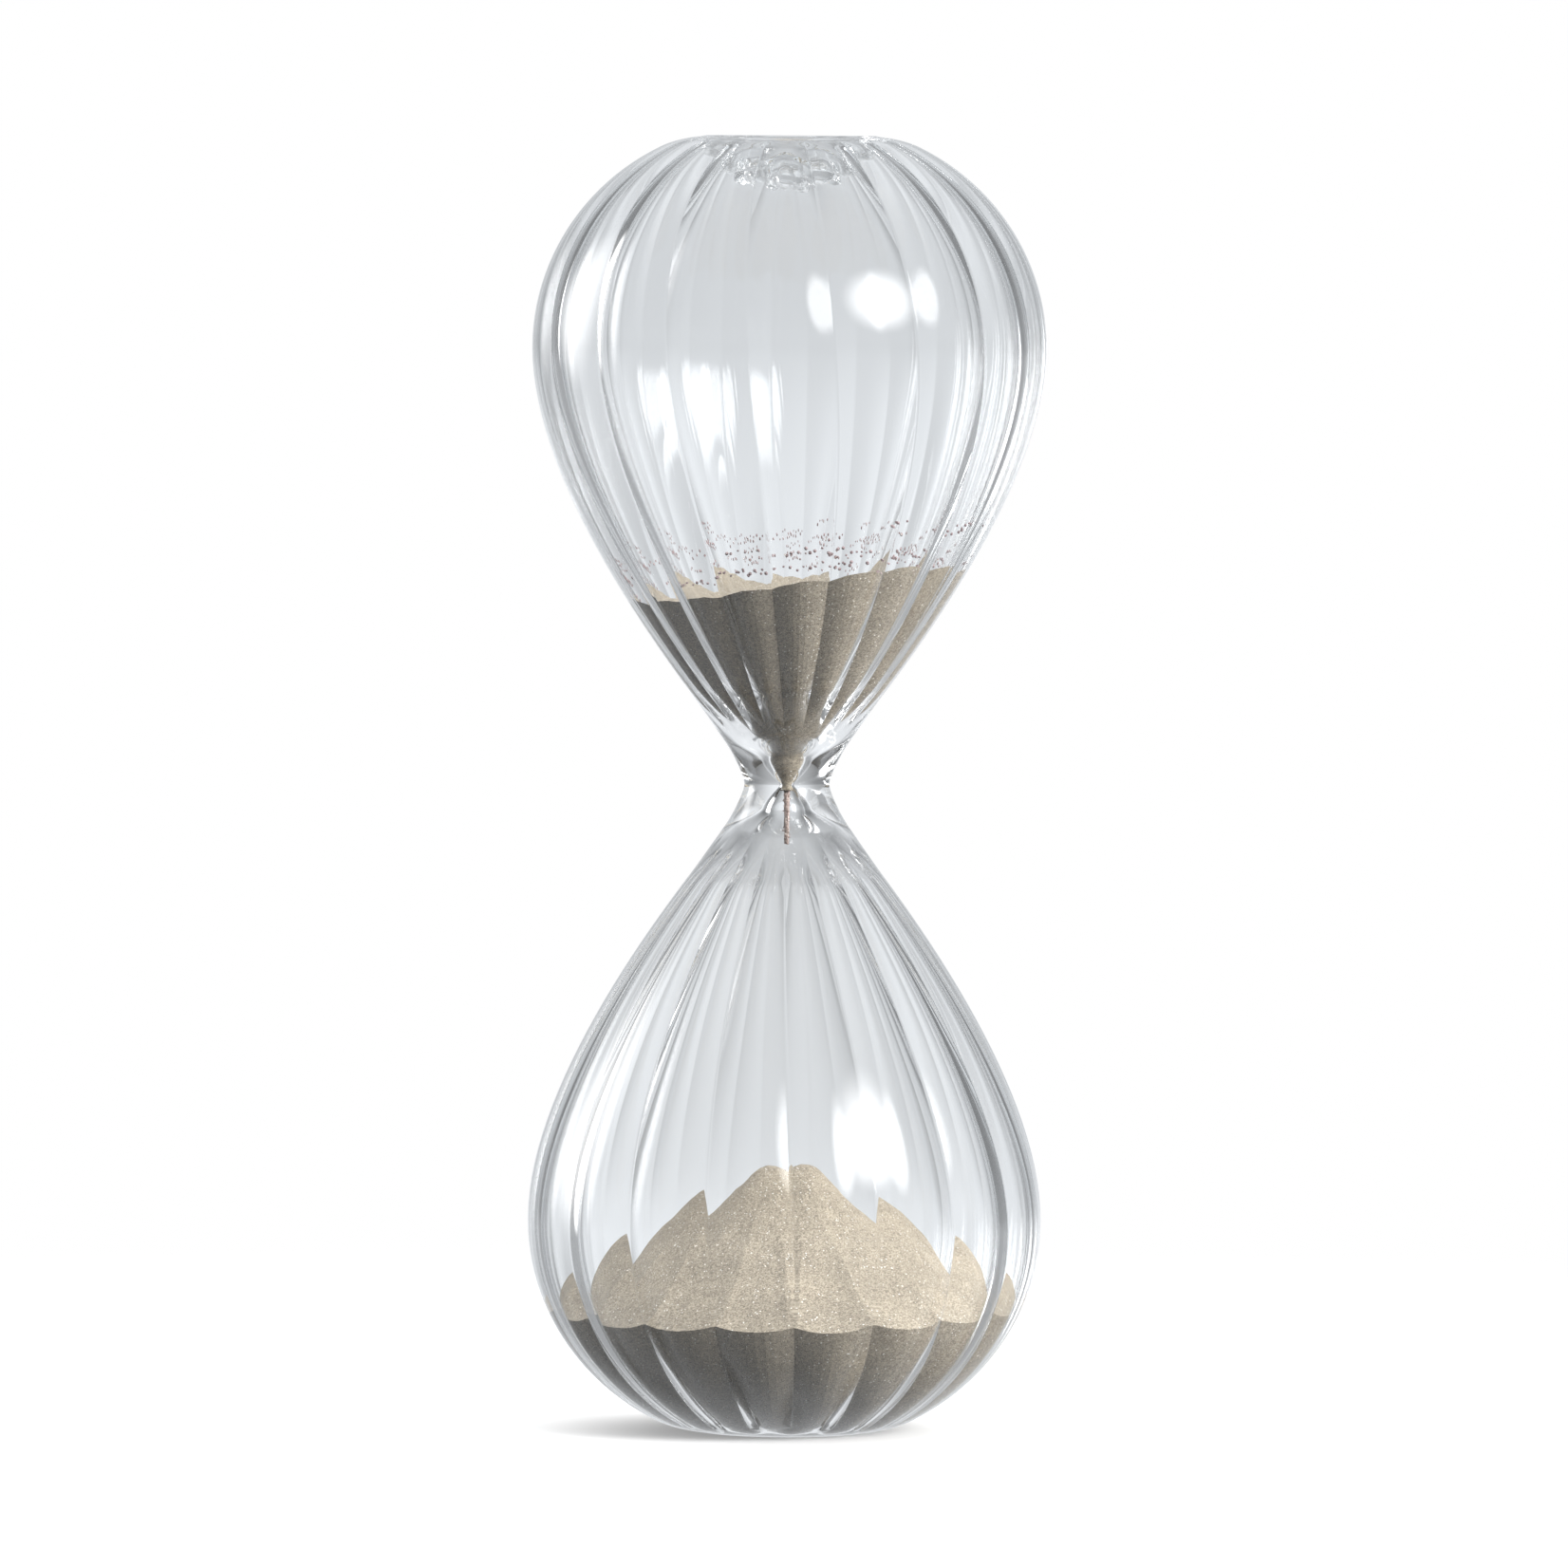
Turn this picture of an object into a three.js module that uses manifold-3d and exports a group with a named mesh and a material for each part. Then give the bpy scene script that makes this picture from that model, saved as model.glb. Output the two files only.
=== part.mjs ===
// A frameless sand glass, part way through its run: two blown teardrop bulbs of clear ribbed glass, joined
// at a thick neck with a pinhole through it. Each bulb is closed at its far end by a flat standing ring
// round a pushed-in punt, and the hole in the punt, through which the sand was filled, is shut by a melted
// glass seal. Millimetres, +Z up, standing on z = 0 with the axis of the glass on Z.
import * as THREE from "three";
import { mergeVertices } from "three/addons/utils/BufferGeometryUtils.js";
import Module from "manifold-3d";

const wasm = await Module();
wasm.setup();

const degrees = THREE.MathUtils.degToRad;

// Overall sizes
const HEIGHT = 250;
const BULB_RADIUS = 49.6;
const WALL = 1.5;
const GAP = 0.3; // between pieces that touch on the real object

// Outline of a bulb. "Rise" is the distance from the orifice, up or down.
const NECK_RADIUS = 8.2;
const SEAM_RADIUS = 12; // where a bulb is joined to the neck
const SEAM_RISE = 8.2;
const SHOULDER_RADIUS = 18.9; // where the flare of the neck turns into the cone of the bulb
const SHOULDER_RISE = 17.9;
const CONE_ANGLE = degrees(36.9); // between the cone's side and the axis
const DOME_HEIGHT = 40.8; // from the widest place to the standing ring
const DOME_CENTRE_RADIUS = 5; // the dome is an elliptic arc centred this far off the axis
const RING_RADIUS = 21; // outside of the flat ring that the glass stands on
const RING_WIDTH = 3;
const PUNT_DEPTH = 7;
const FILL_HOLE_RADIUS = 9.3;
const SEAL_BULGE = 1.4; // how far the seal swells into the bulb past the punt's glass

// How far the handles of the outline's curves reach, as shares of what each curve spans
const WAIST_HANDLE = 0.15;
const SEAM_HANDLE = 0.35;
const CONE_HANDLE = 0.37;
const EQUATOR_HANDLE = 0.31;
const PUNT_WALL_LEAN = 0.06;
const PUNT_WALL_HANDLE = 0.8;
const PUNT_FLOOR_HANDLE = 0.3;
const FUNNEL_HANDLE = 0.5;

// Throat
const ORIFICE_RADIUS = 0.75;
const THROAT_STRAIGHT = 1.6; // how soon the pinhole starts to open into the funnel

// Ribs, which stand into the cavity and swirl a little from the neck to the ring
const RIB_COUNT = 18;
const RIB_DEPTH = 0.7;
const UPPER_RIBS = { turn: degrees(-72), swirl: degrees(-11) };
const LOWER_RIBS = { turn: degrees(92), swirl: degrees(-6) };
const SIDES_PER_RIB = 3;
const PLAIN_SIDES = 36; // round a piece with no ribs
const THIN_SIDES = 12; // round the stream
const NECK_ROWS = 4;
const FUNNEL_ROWS = 5;
const SEAL_ROWS = 4;
const SEAL_DISH_SHARE = 0.6; // how far out the seal's flat dish reaches

// Sand
const REPOSE = degrees(35); // slope of the heap
const HEAP_RIM_HEIGHT = 22; // where the heap meets the glass, above the ground
const HEAP_TOP_RADIUS = 6; // the heap's point is rounded off inside this
const HEAP_BROW_SHARE = 0.5; // the rounding's middle point, which lies at the height of HEAP_BROW_LEVEL
const HEAP_BROW_LEVEL = 0.6; // heights are those of the plain cone at this share of the top's radius
const HEAP_FLAT_LEVEL = 0.4;
const SUPPLY_RIM_RISE = 39.6; // where the sand left above meets the glass
const SUPPLY_FOOT_RISE = 5; // the supply's lowest end, in the funnel
const CRATER_SLOPE = degrees(15);
const SUPPLY_LEAN_X = 0.09; // how much higher the supply's top gets for each step to the right
const SUPPLY_LEAN_Y = 0.02; // and for each step to the back
const STREAM_RADIUS = 0.45;
const STREAM_TIP_RADIUS = 0.3;
const STREAM_DROP = 11.6; // from the orifice to the lowest grains of the stream

// Colours and finishes
const glass = new THREE.MeshStandardMaterial({ color: 0xdfe5e8, roughness: 0.03, metalness: 0 });
const sand = new THREE.MeshStandardMaterial({ color: 0xb3a893, roughness: 0.95, metalness: 0 });

const group = new THREE.Group();

// ---------------------------------------------------------------- outlines, as radius and rise

const at = (radius, rise) => new THREE.Vector2(radius, rise);
const moved = (p, along, length) => p.clone().addScaledVector(along, length);

const END_RISE = HEIGHT / 2;
const EQUATOR_RISE = END_RISE - DOME_HEIGHT;
const PUNT_RISE = END_RISE - PUNT_DEPTH;
const PUNT_RADIUS = RING_RADIUS - RING_WIDTH;

const coneSlope = at(Math.sin(CONE_ANGLE), Math.cos(CONE_ANGLE));
const flareSlope = at(SHOULDER_RADIUS - SEAM_RADIUS, SHOULDER_RISE - SEAM_RISE).normalize();
const seam = at(SEAM_RADIUS, SEAM_RISE);
const shoulder = at(SHOULDER_RADIUS, SHOULDER_RISE);
const flareLength = seam.distanceTo(shoulder);
const coneRise = EQUATOR_RISE - SHOULDER_RISE;

const neckCurve = new THREE.CubicBezierCurve(
  at(NECK_RADIUS, 0),
  at(NECK_RADIUS, SEAM_RISE * WAIST_HANDLE),
  moved(seam, flareSlope, -SEAM_RISE * SEAM_HANDLE),
  seam,
);
const flareCurve = new THREE.CubicBezierCurve(
  seam,
  moved(seam, flareSlope, flareLength * SEAM_HANDLE),
  moved(shoulder, coneSlope, -flareLength * SEAM_HANDLE),
  shoulder,
);
const coneCurve = new THREE.CubicBezierCurve(
  shoulder,
  moved(shoulder, coneSlope, coneRise * CONE_HANDLE),
  at(BULB_RADIUS, EQUATOR_RISE - coneRise * EQUATOR_HANDLE),
  at(BULB_RADIUS, EQUATOR_RISE),
);
const domeReach = BULB_RADIUS - DOME_CENTRE_RADIUS;
const domeEnd = Math.acos((RING_RADIUS - DOME_CENTRE_RADIUS) / domeReach);
const domeCurve = new THREE.EllipseCurve(
  DOME_CENTRE_RADIUS,
  EQUATOR_RISE,
  domeReach,
  DOME_HEIGHT / Math.sin(domeEnd),
  0,
  domeEnd,
);
const ringLine = new THREE.LineCurve(at(RING_RADIUS, END_RISE), at(PUNT_RADIUS, END_RISE));
const puntReach = PUNT_RADIUS - FILL_HOLE_RADIUS;
const puntCurve = new THREE.CubicBezierCurve(
  at(PUNT_RADIUS, END_RISE),
  at(PUNT_RADIUS - puntReach * PUNT_WALL_LEAN, END_RISE - PUNT_DEPTH * PUNT_WALL_HANDLE),
  at(PUNT_RADIUS - puntReach * PUNT_FLOOR_HANDLE, PUNT_RISE),
  at(FILL_HOLE_RADIUS, PUNT_RISE),
);

// The stretches of a bulb's outside, from the seam to the fill hole: how many rows of faces each gets,
// and what share of the ribs' full depth stands inside its start and its end.
const bulbStretches = [
  { curve: flareCurve, rows: 2, ribs: [0, 0.8] },
  { curve: coneCurve, rows: 6, ribs: [0.8, 1] },
  { curve: domeCurve, rows: 8, ribs: [1, 0.7] },
  { curve: ringLine, rows: 1, ribs: [0.7, 0] },
  { curve: puntCurve, rows: 3, ribs: [0, 0] },
];

// A line moved sideways by depth, to its left, with mitred corners.
function beside(line, depth) {
  const last = line.length - 1;
  const direction = (i) => line[i + 1].clone().sub(line[i]).normalize();
  return line.map((point, i) => {
    const before = direction(Math.max(i - 1, 0));
    const after = direction(Math.min(i, last - 1));
    const along = before.clone().add(after).normalize();
    const shifted = moved(point, at(-along.y, along.x), depth / along.dot(before));
    shifted.rib = point.rib;
    return shifted;
  });
}

// The outside of a bulb, and the inside, whose points carry the ribs.
const outerLine = bulbStretches.flatMap(({ curve, rows }, n) => curve.getPoints(rows).slice(n ? 1 : 0));
const ribShares = bulbStretches.flatMap(({ rows, ribs }, n) =>
  Array.from({ length: rows + 1 }, (_, row) => THREE.MathUtils.lerp(ribs[0], ribs[1], row / rows)).slice(n ? 1 : 0),
);
const innerLine = beside(outerLine, WALL);
innerLine.forEach((point, i) => {
  point.rib = RIB_DEPTH * ribShares[i];
});

// The funnel, from the orifice to the seam, where it runs on into the inside of a bulb.
const funnelCurve = new THREE.CubicBezierCurve(
  at(ORIFICE_RADIUS, 0),
  at(ORIFICE_RADIUS, THROAT_STRAIGHT),
  moved(innerLine[0], flareSlope, -SEAM_RISE * FUNNEL_HANDLE),
  innerLine[0],
);
const funnelLine = funnelCurve.getPoints(FUNNEL_ROWS);

// ---------------------------------------------------------------- solids

// A profile turned round the axis. A point's rib is how far the ribs stand in from it.
function turned(profile, sides, ribs = { turn: 0, swirl: 0 }) {
  const geometry = new THREE.LatheGeometry(profile, sides);
  const place = geometry.getAttribute("position");
  for (let i = 0; i < place.count; i++) {
    const point = profile[i % profile.length];
    const side = Math.floor(i / profile.length) % sides;
    const lobe = Math.abs(Math.sin((Math.PI * side) / SIDES_PER_RIB));
    const radius = point.x - (point.rib ?? 0) * (1 - lobe);
    const angle = (2 * Math.PI * side) / sides + ribs.turn + (ribs.swirl * point.y) / END_RISE;
    place.setXYZ(i, radius * Math.cos(angle), radius * Math.sin(angle), point.y);
  }
  return geometry;
}

const RIBBED_SIDES = RIB_COUNT * SIDES_PER_RIB;

function solidOf(geometry) {
  geometry.deleteAttribute("normal");
  geometry.deleteAttribute("uv");
  const merged = mergeVertices(geometry, 1e-3);
  return new wasm.Manifold(
    new wasm.Mesh({
      numProp: 3,
      vertProperties: merged.getAttribute("position").array,
      triVerts: new Uint32Array(merged.index.array),
    }),
  );
}

function geometryOf(solid) {
  const mesh = solid.getMesh();
  return new THREE.BufferGeometry()
    .setAttribute("position", new THREE.BufferAttribute(mesh.vertProperties, 3))
    .setIndex(new THREE.BufferAttribute(mesh.triVerts, 1));
}

// Puts a piece at the orifice's height. A piece of the lower half is the upper one turned over.
function add(name, geometry, material, turnedOver = false) {
  const mesh = new THREE.Mesh(geometry, material);
  mesh.name = name;
  mesh.position.z = END_RISE;
  mesh.rotation.x = turnedOver ? Math.PI : 0;
  group.add(mesh);
}

// ---------------------------------------------------------------- glass

function bulb(ribs) {
  return turned([...outerLine, ...innerLine.toReversed(), outerLine[0]], RIBBED_SIDES, ribs);
}

function neck() {
  const outer = neckCurve.getPoints(NECK_ROWS).with(-1, moved(seam, flareSlope, -GAP));
  const inner = funnelLine.with(-1, moved(innerLine[0], flareSlope, -GAP));
  const upperHalf = [...outer, ...inner.reverse()];
  const lowerHalf = upperHalf.map((p) => at(p.x, -p.y)).reverse();
  return turned([...upperHalf, ...lowerHalf.slice(1)], PLAIN_SIDES);
}

// A melted button that plugs the fill hole: dished on the outside, swollen on the inside.
function seal() {
  const edge = FILL_HOLE_RADIUS - GAP;
  const swell = new THREE.EllipseCurve(0, PUNT_RISE - WALL, edge, SEAL_BULGE, -Math.PI / 2, 0);
  const dish = [at(edge, PUNT_RISE), at(edge * SEAL_DISH_SHARE, PUNT_RISE - GAP), at(0, PUNT_RISE - GAP)];
  return turned([...swell.getPoints(SEAL_ROWS), ...dish], PLAIN_SIDES);
}

// ---------------------------------------------------------------- sand

// The inside of the glass from the orifice on, less the gap between glass and sand.
const sandLine = beside([...funnelLine, ...innerLine.slice(1)], GAP);

// The space that the sand may fill.
function cavity(ribs) {
  const sealRise = PUNT_RISE - WALL - SEAL_BULGE - GAP;
  const lid = [at(FILL_HOLE_RADIUS, sealRise), at(0, sealRise)];
  return solidOf(turned([at(0, sandLine[0].y), ...sandLine, ...lid], RIBBED_SIDES, ribs));
}

// How far from the axis the sand meets the glass at this rise, between two ribs.
function sandRadiusAt(rise) {
  const above = sandLine.findIndex((point) => point.y > rise);
  const [low, high] = [sandLine[above - 1], sandLine[above]];
  return THREE.MathUtils.mapLinear(rise, low.y, high.y, low.x, high.x);
}

// A conical surface of sand that meets the glass at rimRise and goes down towards the axis, or up to it
// in the lower bulb, where rise is counted downwards.
function slopeOf(rimRise, angle) {
  const rimRadius = sandRadiusAt(rimRise);
  return (radius) => rimRise - (rimRadius - radius) * Math.tan(angle);
}

// The sand still above. The cutter is a ring, so the stream's bore stays open down the middle; its top is
// the crater, leaning as the sand does.
const craterRise = slopeOf(SUPPLY_RIM_RISE, CRATER_SLOPE);

function supply() {
  const bore = STREAM_RADIUS + GAP;
  const cutter = [
    at(bore, SUPPLY_FOOT_RISE),
    at(BULB_RADIUS, SUPPLY_FOOT_RISE),
    at(BULB_RADIUS, craterRise(BULB_RADIUS)),
    at(bore, craterRise(bore)),
    at(bore, SUPPLY_FOOT_RISE),
  ];
  const lean = new THREE.Matrix4().makeShear(0, SUPPLY_LEAN_X, 0, SUPPLY_LEAN_Y, 0, 0);
  const ring = turned(cutter, PLAIN_SIDES).applyMatrix4(lean);
  return geometryOf(cavity(UPPER_RIBS).intersect(solidOf(ring)));
}

// The sand that has run through: a heap with a rounded top.
function heap() {
  const heapRise = slopeOf(END_RISE - HEAP_RIM_HEIGHT, REPOSE);
  const cutter = [
    at(0, heapRise(HEAP_TOP_RADIUS * HEAP_FLAT_LEVEL)),
    at(HEAP_TOP_RADIUS * HEAP_BROW_SHARE, heapRise(HEAP_TOP_RADIUS * HEAP_BROW_LEVEL)),
    at(HEAP_TOP_RADIUS, heapRise(HEAP_TOP_RADIUS)),
    at(BULB_RADIUS, heapRise(BULB_RADIUS)),
    at(BULB_RADIUS, END_RISE),
    at(0, END_RISE),
  ];
  return geometryOf(cavity(LOWER_RIBS).intersect(solidOf(turned(cutter, PLAIN_SIDES))));
}

// The running core of the sand, from the crater down through the orifice to the lowest falling grains.
function stream() {
  const top = craterRise(0);
  const outline = [
    at(0, -STREAM_DROP),
    at(STREAM_TIP_RADIUS, -STREAM_DROP),
    at(STREAM_RADIUS, 0),
    at(STREAM_RADIUS, top),
    at(0, top),
  ];
  return turned(outline, THIN_SIDES);
}

// ---------------------------------------------------------------- the glass, assembled

add("upper_bulb", bulb(UPPER_RIBS), glass);
add("neck_orifice", neck(), glass);
add("lower_bulb", bulb(LOWER_RIBS), glass, true);
add("upper_end_seal", seal(), glass);
add("lower_end_seal", seal(), glass, true);
add("upper_sand", supply(), sand);
add("lower_sand", heap(), sand, true);
add("sand_stream", stream(), sand);

export default group;
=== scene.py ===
# %% [markdown]
# # A sand glass of clear ribbed glass
#
# The real object is made by a glass blower. A gather of molten glass is dipped into a ribbed mould, which
# prints 18 ribs on it, and is then blown out into a teardrop. The outside evens out against the air, so
# the ribs stay as soft ridges on the inside. Two such bulbs are fused neck to neck round a pinhole, each
# far end is pushed in to a punt that leaves a ring to stand on, and once the sand is in, the fill hole in
# the punt is melted shut.
#
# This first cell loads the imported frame. Every size below comes from it or is a maker's value in
# millimetres, and `cad_low` and `cad_high` keep the box that the looks have to stay inside.

# %% Load the frame
import math
import random

import bpy
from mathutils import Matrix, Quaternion, Vector
from mathutils.bvhtree import BVHTree
from mathutils.kdtree import KDTree


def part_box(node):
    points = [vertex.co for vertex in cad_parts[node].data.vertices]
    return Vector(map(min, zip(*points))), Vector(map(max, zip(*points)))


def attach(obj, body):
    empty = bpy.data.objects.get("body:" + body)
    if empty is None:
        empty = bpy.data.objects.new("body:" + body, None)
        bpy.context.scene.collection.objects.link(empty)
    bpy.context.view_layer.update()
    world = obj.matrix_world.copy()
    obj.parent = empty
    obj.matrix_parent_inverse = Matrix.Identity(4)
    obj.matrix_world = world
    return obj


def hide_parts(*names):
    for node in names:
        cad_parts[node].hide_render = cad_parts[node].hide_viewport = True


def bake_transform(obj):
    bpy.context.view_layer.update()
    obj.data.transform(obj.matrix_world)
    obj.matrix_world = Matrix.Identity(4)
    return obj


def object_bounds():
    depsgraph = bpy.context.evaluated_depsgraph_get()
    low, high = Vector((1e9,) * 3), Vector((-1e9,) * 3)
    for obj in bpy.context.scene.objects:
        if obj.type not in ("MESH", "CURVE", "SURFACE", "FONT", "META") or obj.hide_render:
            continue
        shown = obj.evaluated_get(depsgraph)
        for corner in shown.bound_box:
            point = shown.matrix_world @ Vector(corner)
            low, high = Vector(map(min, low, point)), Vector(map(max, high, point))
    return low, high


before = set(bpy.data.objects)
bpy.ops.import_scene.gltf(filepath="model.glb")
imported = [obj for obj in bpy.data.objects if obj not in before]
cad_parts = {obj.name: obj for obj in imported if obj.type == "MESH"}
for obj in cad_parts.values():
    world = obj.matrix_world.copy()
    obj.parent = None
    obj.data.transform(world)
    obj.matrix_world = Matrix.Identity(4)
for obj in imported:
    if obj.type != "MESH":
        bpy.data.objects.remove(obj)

cad_low, cad_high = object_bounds()
MM = 0.001
HEIGHT = cad_high.z
NECK_HEIGHT = HEIGHT / 2
BULB_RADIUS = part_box("upper_bulb")[1].x
print("height", round(HEIGHT, 4), "widest radius", round(BULB_RADIUS, 4))


# %% [markdown]
# ## Small helpers
#
# Operators act on whatever is selected, so each step starts from a clean selection with one object active.
# These helpers say that once, and keep the later cells about glass and sand.

# %% Selection and modifier helpers
def only(piece):
    """Leaves piece as the one selected, active object."""
    if bpy.context.mode != "OBJECT":
        bpy.ops.object.mode_set(mode="OBJECT")
    bpy.ops.object.select_all(action="DESELECT")
    piece.select_set(True)
    bpy.context.view_layer.objects.active = piece


def edit(piece):
    """Opens piece in edit mode with everything selected."""
    only(piece)
    bpy.ops.object.mode_set(mode="EDIT")
    bpy.ops.mesh.select_all(action="SELECT")


def done():
    """Closes edit mode."""
    bpy.ops.object.mode_set(mode="OBJECT")


def modify(piece, kind, **settings):
    """Adds a modifier with these settings and applies it."""
    only(piece)
    modifier = piece.modifiers.new(kind.lower(), kind)
    for name, value in settings.items():
        setattr(modifier, name, value)
    bpy.ops.object.modifier_apply(modifier=modifier.name)


def smooth(piece):
    """Shades piece smooth all over."""
    only(piece)
    bpy.ops.object.shade_smooth()


def remove(piece):
    """Deletes a piece that was only a tool."""
    only(piece)
    bpy.ops.object.delete()


bpy.ops.object.select_all(action="DESELECT")
print("selected at the start:", len(bpy.context.selected_objects))

# %% [markdown]
# ## The outline
#
# A turned shape is drawn once, as a line of Bezier stretches with the radius across and the rise up, the
# way that a glass blower's paper template shows half of the vessel. The same half serves both bulbs,
# because the glass is the same above and below its neck. A stretch is four points: start, two handles,
# end. The dome is an elliptic arc, whose handles come from the usual 4/3 tan(angle / 4) rule.

# %% Outline of the outside, from the waist to the fill hole
WAIST = (8.2, 0)
SEAM = (12.0, 8.2)
SHOULDER = (18.9, 17.9)
EQUATOR = (BULB_RADIUS / MM, 84.2)
RIM_OUTER = (25.0, 122.95)
RIM_INNER = (15.5, NECK_HEIGHT / MM)
PUNT_EDGE = (9.3, 118.9)
DOME_CENTRE = 5.0
WAIST_HANDLE = 1.3
SEAM_HANDLE_BELOW, SEAM_HANDLE_ABOVE = 2.9, 4.2
SHOULDER_HANDLE_BELOW, SHOULDER_HANDLE_ABOVE = 4.2, 24.5
EQUATOR_HANDLE_RISE = 63.7
RIM_HANDLE = 2.6
RING_HANDLE_RADIUS = 19.0
PUNT_WALL_HANDLES = (13.4, 13.0)
PUNT_FLOOR_RISE = 119.3


def ahead(point, toward, length):
    """The point moved by length along a direction."""
    return (point[0] + toward[0] * length, point[1] + toward[1] * length)


def elliptic(start, end, centre):
    """A stretch that leaves start straight up and reaches end on an ellipse centred at this radius."""
    across = start[0] - centre
    turn = math.acos((end[0] - centre) / across)
    up = (end[1] - start[1]) / math.sin(turn)
    pull = 4 / 3 * math.tan(turn / 4)
    first = (start[0], start[1] + pull * up)
    last = (end[0] + pull * across * math.sin(turn), end[1] - pull * up * math.cos(turn))
    return [start, first, last, end]


flare_slope = (0.58, 0.815)
cone_slope = (0.6, 0.8)
rim_slope = (-0.9, 0.436)
from_waist = (WAIST[0], WAIST_HANDLE)
into_seam = ahead(SEAM, flare_slope, -SEAM_HANDLE_BELOW)
from_seam = ahead(SEAM, flare_slope, SEAM_HANDLE_ABOVE)
into_shoulder = ahead(SHOULDER, cone_slope, -SHOULDER_HANDLE_BELOW)
from_shoulder = ahead(SHOULDER, cone_slope, SHOULDER_HANDLE_ABOVE)
from_rim = ahead(RIM_OUTER, rim_slope, RIM_HANDLE)
outside_stretches = [
    [WAIST, from_waist, into_seam, SEAM],
    [SEAM, from_seam, into_shoulder, SHOULDER],
    [SHOULDER, from_shoulder, (EQUATOR[0], EQUATOR_HANDLE_RISE), EQUATOR],
    elliptic(EQUATOR, RIM_OUTER, DOME_CENTRE),
    [RIM_OUTER, from_rim, (RING_HANDLE_RADIUS, RIM_INNER[1]), RIM_INNER],
    [RIM_INNER, (PUNT_WALL_HANDLES[0], RIM_INNER[1]), (PUNT_WALL_HANDLES[1], PUNT_FLOOR_RISE), PUNT_EDGE],
]
print("outline of", len(outside_stretches), "stretches")

# %% [markdown]
# The inside runs a wall's thickness in from the outside along the bulb, and turns into a funnel at the
# neck, where the glass is thick: a throat, a small cup over it, and a wider bowl that opens into the cone.
# Moving the two ends and the handles of a stretch along its own normals gives a good parallel of it.
# `inside_of` takes the depth under the outside, so that the same line also serves the sand, a hair
# further in.

# %% Outline of the inside, from the orifice to the fill hole
WALL = 1.35
ORIFICE_RADIUS = 0.95
THROAT_RISE = 1.6
CUP_LIP = (2.7, 3.4)
CUP = (3.3, 6.0)
CUP_HANDLE = (3.6, 7.2)
BOWL = (7.6, 10.6)
CONE_START = (16.7, 19.6)
CONE_HANDLE = 22
RING_CREST = (18.2, 123.3)
RING_HANDLES = (20.4, 15.6)
SEAL_SEAT_RISE = 117.3
SEAL_SEAT_HANDLE = 15.4
into_bowl, from_bowl = (0.72, 0.69), (0.66, 0.75)
into_cone, from_cone = (0.68, 0.73), (0.62, 0.785)


def normal_at(a, b):
    """The direction to the left of a line from a to b."""
    length = math.dist(a, b)
    return (-(b[1] - a[1]) / length, (b[0] - a[0]) / length)


def parallel(stretch, depth):
    """The stretch moved to its left by depth."""
    start, first, last, end = stretch
    at_start = normal_at(start, first)
    at_end = normal_at(last, end)
    new_start = ahead(start, at_start, depth)
    new_end = ahead(end, at_end, depth)
    grown = math.dist(new_start, new_end) / math.dist(start, end)
    new_first = (new_start[0] + (first[0] - start[0]) * grown, new_start[1] + (first[1] - start[1]) * grown)
    new_last = (new_end[0] + (last[0] - end[0]) * grown, new_end[1] + (last[1] - end[1]) * grown)
    return [new_start, new_first, new_last, new_end]


def inside_of(depth):
    """The inside's stretches at a depth under the outside, from the orifice to the fill hole."""
    more = depth - WALL

    def inward(point):
        return (point[0] - more, point[1])

    throat, cup, bowl, cone_start = ORIFICE_RADIUS - more, inward(CUP), inward(BOWL), inward(CONE_START)
    crest = (RING_CREST[0], RING_CREST[1] - more)
    seat = (PUNT_EDGE[0], SEAL_SEAT_RISE - more)
    cone, dome = [parallel(stretch, depth) for stretch in outside_stretches[2:4]]
    cone[:2] = [cone_start, ahead(cone_start, from_cone, CONE_HANDLE)]
    return [
        [(throat, 0), (throat, THROAT_RISE), inward(CUP_LIP), cup],
        [cup, inward(CUP_HANDLE), ahead(bowl, into_bowl, -2.0), bowl],
        [bowl, ahead(bowl, from_bowl, 4.0), ahead(cone_start, into_cone, -4.0), cone_start],
        cone,
        dome,
        [dome[3], ahead(dome[3], rim_slope, 2.4), (RING_HANDLES[0], crest[1]), crest],
        [crest, (RING_HANDLES[1], crest[1]), (SEAL_SEAT_HANDLE, seat[1]), seat],
    ]


inside_stretches = inside_of(WALL)
print("inside of", len(inside_stretches), "stretches, wall", WALL, "mm")

# %% [markdown]
# ## Turning a line into a surface
#
# `drawn` makes the line as a Bezier curve object and converts it to a wire mesh; `turned` spins that wire
# round the axis in edit mode, as on a lathe, and closes the spin by merging the last copy with the first.

# %% Draw and spin
RIBS = 18
SIDES = RIBS * 12
ROWS_PER_STRETCH = 12
LONGEST_STRETCH = 30
WELD = 2e-6


def halved(stretch):
    """Splits a long Bezier stretch at its middle into two."""
    a, b, c, d = [Vector(point) for point in stretch]
    ab, bc, cd = (a + b) / 2, (b + c) / 2, (c + d) / 2
    abc, bcd = (ab + bc) / 2, (bc + cd) / 2
    middle = (abc + bcd) / 2
    return [[a, ab, abc, middle], [middle, bcd, cd, d]]


def refined(stretches):
    """The same line with its long stretches halved, so that rows lie evenly."""
    fine = []
    for stretch in stretches:
        fine += halved(stretch) if math.dist(stretch[0], stretch[3]) > LONGEST_STRETCH else [stretch]
    return fine


def flipped(stretches):
    """The same line walked the other way."""
    return [list(reversed(stretch)) for stretch in reversed(stretches)]


def mirrored(stretches):
    """The same line below the neck."""
    return [[(point[0], -point[1]) for point in stretch] for stretch in stretches]


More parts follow.
